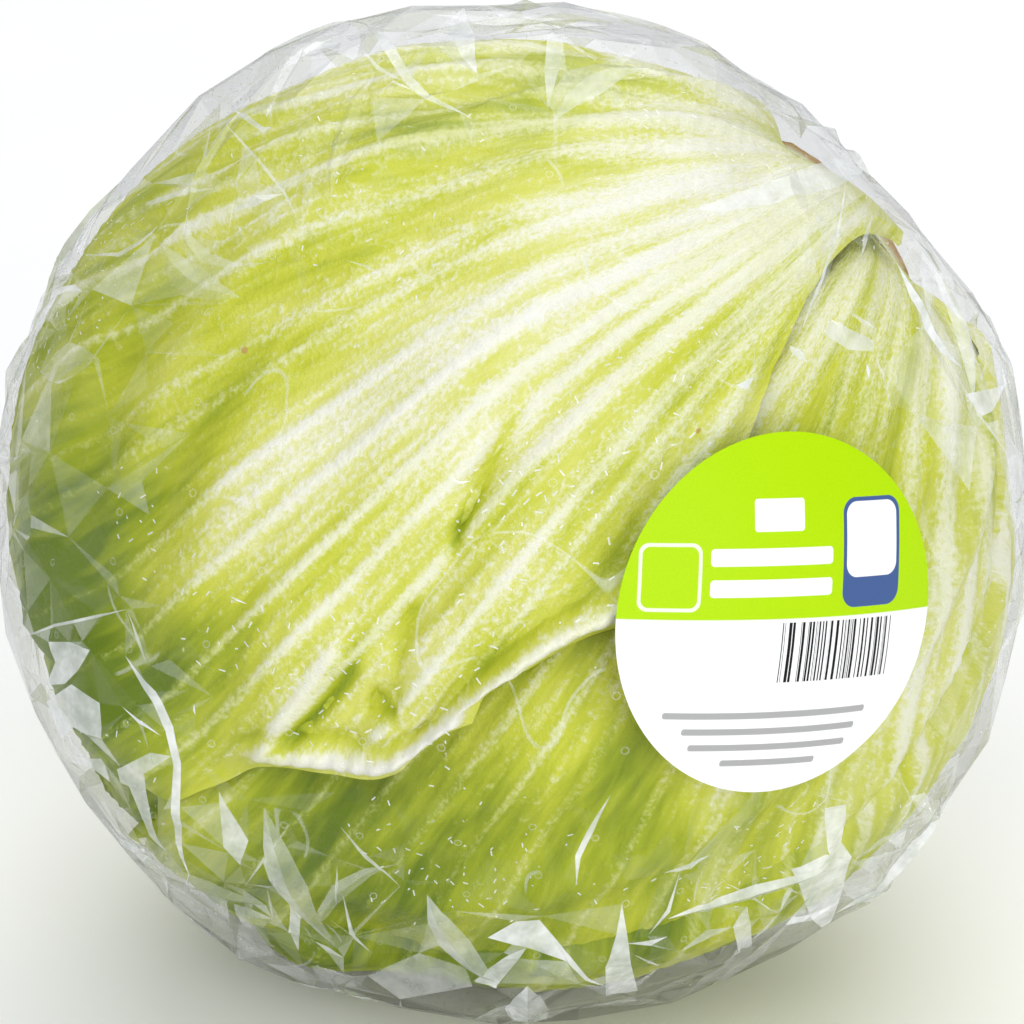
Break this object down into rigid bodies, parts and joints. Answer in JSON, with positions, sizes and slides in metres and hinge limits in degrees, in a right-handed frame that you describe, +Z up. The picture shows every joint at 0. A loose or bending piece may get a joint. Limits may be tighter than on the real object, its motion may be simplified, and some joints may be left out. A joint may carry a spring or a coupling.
{
  "type": "head of lettuce in clear film",
  "caption": "Round crisp head of lettuce of overlapping ribbed leaves round a cut stem, wrapped in clear crinkled film with a round label.",
  "frame": {"origin": "middle of the small flat spot that the wrapped head lies on", "axes": "+Z up from the flat spot, -Y towards the side with the tight film and the label, stem to +X, +Y and +Z, film gathered at +Y"},
  "size_m": [0.1518, 0.1574, 0.1449],
  "materials": {
    "heart_leaf": "crisp pale leaf, satin",
    "stem": "cut stem, dull",
    "inner_leaf": "crisp leaf, satin",
    "outer_leaf": "crisp green leaf with pale ribs, satin",
    "film": "thin clear crinkled film, glossy",
    "label": "printed adhesive paper, semi-gloss"
  },
  "bodies": {
    "root": {"inner_head": "heart_leaf", "stem": "stem", "inner_leaf_1": "inner_leaf", "inner_leaf_2": "inner_leaf", "inner_leaf_3": "inner_leaf", "back_leaf": "outer_leaf", "lower_leaf": "outer_leaf", "right_leaf": "outer_leaf", "front_leaf": "outer_leaf", "film": "film", "label": "label"}
  },
  "joints": []
}
